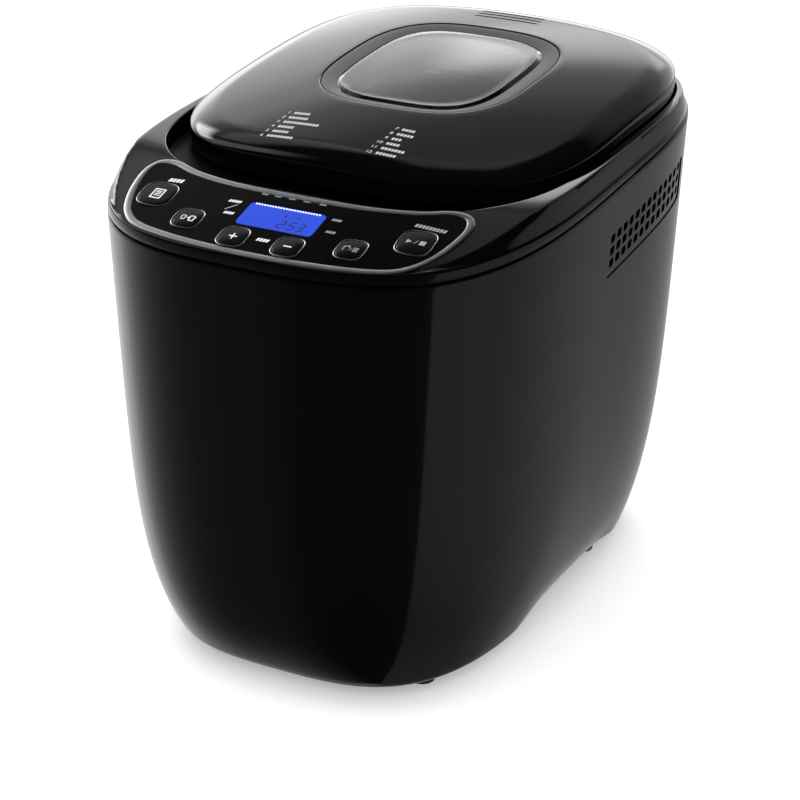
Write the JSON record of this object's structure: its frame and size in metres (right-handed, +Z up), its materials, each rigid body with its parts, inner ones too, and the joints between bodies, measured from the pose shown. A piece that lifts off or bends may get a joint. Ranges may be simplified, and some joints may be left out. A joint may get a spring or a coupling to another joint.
{
  "type": "bread machine",
  "caption": "Countertop bread machine with a hinged windowed lid, sloping push-button panel, lift-out kneading pan in a heated oven, and a belt drive.",
  "frame": {"origin": "on the surface it stands on, under the middle of its overall box, hinge included", "axes": "+X to the machine's left-hand side seen from behind, that is to the viewer's right from the front; the front faces -Y; +Z up"},
  "size_m": [0.27, 0.37, 0.32],
  "materials": {
    "gloss_black": "high gloss, moulded",
    "key_black": "high gloss",
    "matt_black": "fine texture",
    "grey_plastic": "satin",
    "silver_trim": "satin silver",
    "window_glass": "polished",
    "display_blue": "back-lit display",
    "rubber": "matt",
    "silicone": "matt",
    "steel": "plain",
    "galvanised_sheet": "galvanised",
    "non_stick": "dark non-stick coating",
    "cast_aluminium": "as cast",
    "circuit_board": "solder mask",
    "bronze": "turned"
  },
  "bodies": {
    "casing": {"body_shell": "gloss_black", "cord_gland": "rubber", "vent_grille_left": "gloss_black", "vent_grille_right": "gloss_black", "base_plate": "matt_black", "foot_front_left": "rubber", "foot_front_right": "rubber", "foot_back_left": "rubber", "foot_back_right": "rubber", "top_deck": "gloss_black", "panel_overlay": "gloss_black", "panel_trim": "silver_trim", "display_lens": "display_blue", "display_module": "matt_black", "control_board": "circuit_board", "power_board": "circuit_board", "hinge_bracket": "matt_black", "hinge_pin_left": "steel", "hinge_pin_right": "steel", "oven_chamber": "galvanised_sheet", "temperature_sensor": "steel", "heating_element": "steel", "pan_seat": "cast_aluminium", "shaft_bearing": "bronze", "drive_belt": "rubber", "motor_body": "galvanised_sheet", "motor_bracket": "galvanised_sheet", "chamber_bracket": "galvanised_sheet", "base_screw_1": "steel", "base_screw_2": "steel", "base_screw_3": "steel", "base_screw_4": "steel"},
    "lid": {"lid_cover": "gloss_black", "window_bezel": "grey_plastic", "window_glass": "window_glass", "window_inner_glass": "window_glass", "lid_inner_panel": "galvanised_sheet", "lid_seal": "silicone", "hinge_cover": "gloss_black"},
    "pan": {"bread_pan": "non_stick", "pan_bearing": "cast_aluminium"},
    "paddle": {"pan_shaft": "steel", "kneading_paddle": "non_stick"},
    "bail": {"pan_handle": "steel"},
    "drive": {"drive_shaft": "steel", "drive_coupling": "steel", "large_pulley": "matt_black"},
    "motor": {"motor_shaft": "steel", "motor_pulley": "matt_black", "cooling_fan": "matt_black"},
    "button_menu": {"button_menu": "key_black"},
    "button_crust": {"button_crust": "key_black"},
    "button_time_up": {"button_time_up": "key_black"},
    "button_time_down": {"button_time_down": "key_black"},
    "button_loaf_size": {"button_loaf_size": "key_black"},
    "button_start": {"button_start": "key_black"}
  },
  "joints": [
    {"name": "lid_hinge", "type": "hinge", "parent": "casing", "child": "lid", "pos_m": [0, 0.176, 0.296], "axis": [-1, 0, 0], "range_deg": [0, 92]},
    {"name": "pan_lift", "type": "slide", "parent": "casing", "child": "pan", "axis": [0, 0, 1], "range_m": [0, 0.035]},
    {"name": "bail_swing", "type": "hinge", "parent": "pan", "child": "bail", "pos_m": [0, 0.026, 0.243], "axis": [-1, 0, 0], "range_deg": [0, 30]},
    {"name": "paddle_spin", "type": "hinge", "parent": "pan", "child": "paddle", "pos_m": [0, 0.026, 0.088], "axis": [0, 0, 1], "continuous": true},
    {"name": "drive_spin", "type": "hinge", "parent": "casing", "child": "drive", "pos_m": [0, 0.026, 0.033], "axis": [0, 0, 1], "continuous": true},
    {"name": "motor_spin", "type": "hinge", "parent": "casing", "child": "motor", "pos_m": [0, -0.125, 0.033], "axis": [0, 0, 1], "continuous": true},
    {"name": "button_menu_press", "type": "slide", "parent": "casing", "child": "button_menu", "axis": [0, 0.2785, -0.9604], "range_m": [0, 0.001], "stiffness_N_per_m": 600, "springref_m": -0.0004},
    {"name": "button_crust_press", "type": "slide", "parent": "casing", "child": "button_crust", "axis": [0, 0.2785, -0.9604], "range_m": [0, 0.001], "stiffness_N_per_m": 600, "springref_m": -0.0004},
    {"name": "button_time_up_press", "type": "slide", "parent": "casing", "child": "button_time_up", "axis": [0, 0.2785, -0.9604], "range_m": [0, 0.001], "stiffness_N_per_m": 600, "springref_m": -0.0004},
    {"name": "button_time_down_press", "type": "slide", "parent": "casing", "child": "button_time_down", "axis": [0, 0.2785, -0.9604], "range_m": [0, 0.001], "stiffness_N_per_m": 600, "springref_m": -0.0004},
    {"name": "button_loaf_size_press", "type": "slide", "parent": "casing", "child": "button_loaf_size", "axis": [0, 0.2785, -0.9604], "range_m": [0, 0.001], "stiffness_N_per_m": 600, "springref_m": -0.0004},
    {"name": "button_start_press", "type": "slide", "parent": "casing", "child": "button_start", "axis": [0, 0.2785, -0.9604], "range_m": [0, 0.001], "stiffness_N_per_m": 600, "springref_m": -0.0004}
  ],
  "couplings": [
    {"joint": "motor_spin", "follows": "drive_spin", "ratio": 4.6667},
    {"joint": "paddle_spin", "follows": "drive_spin", "ratio": 1}
  ]
}
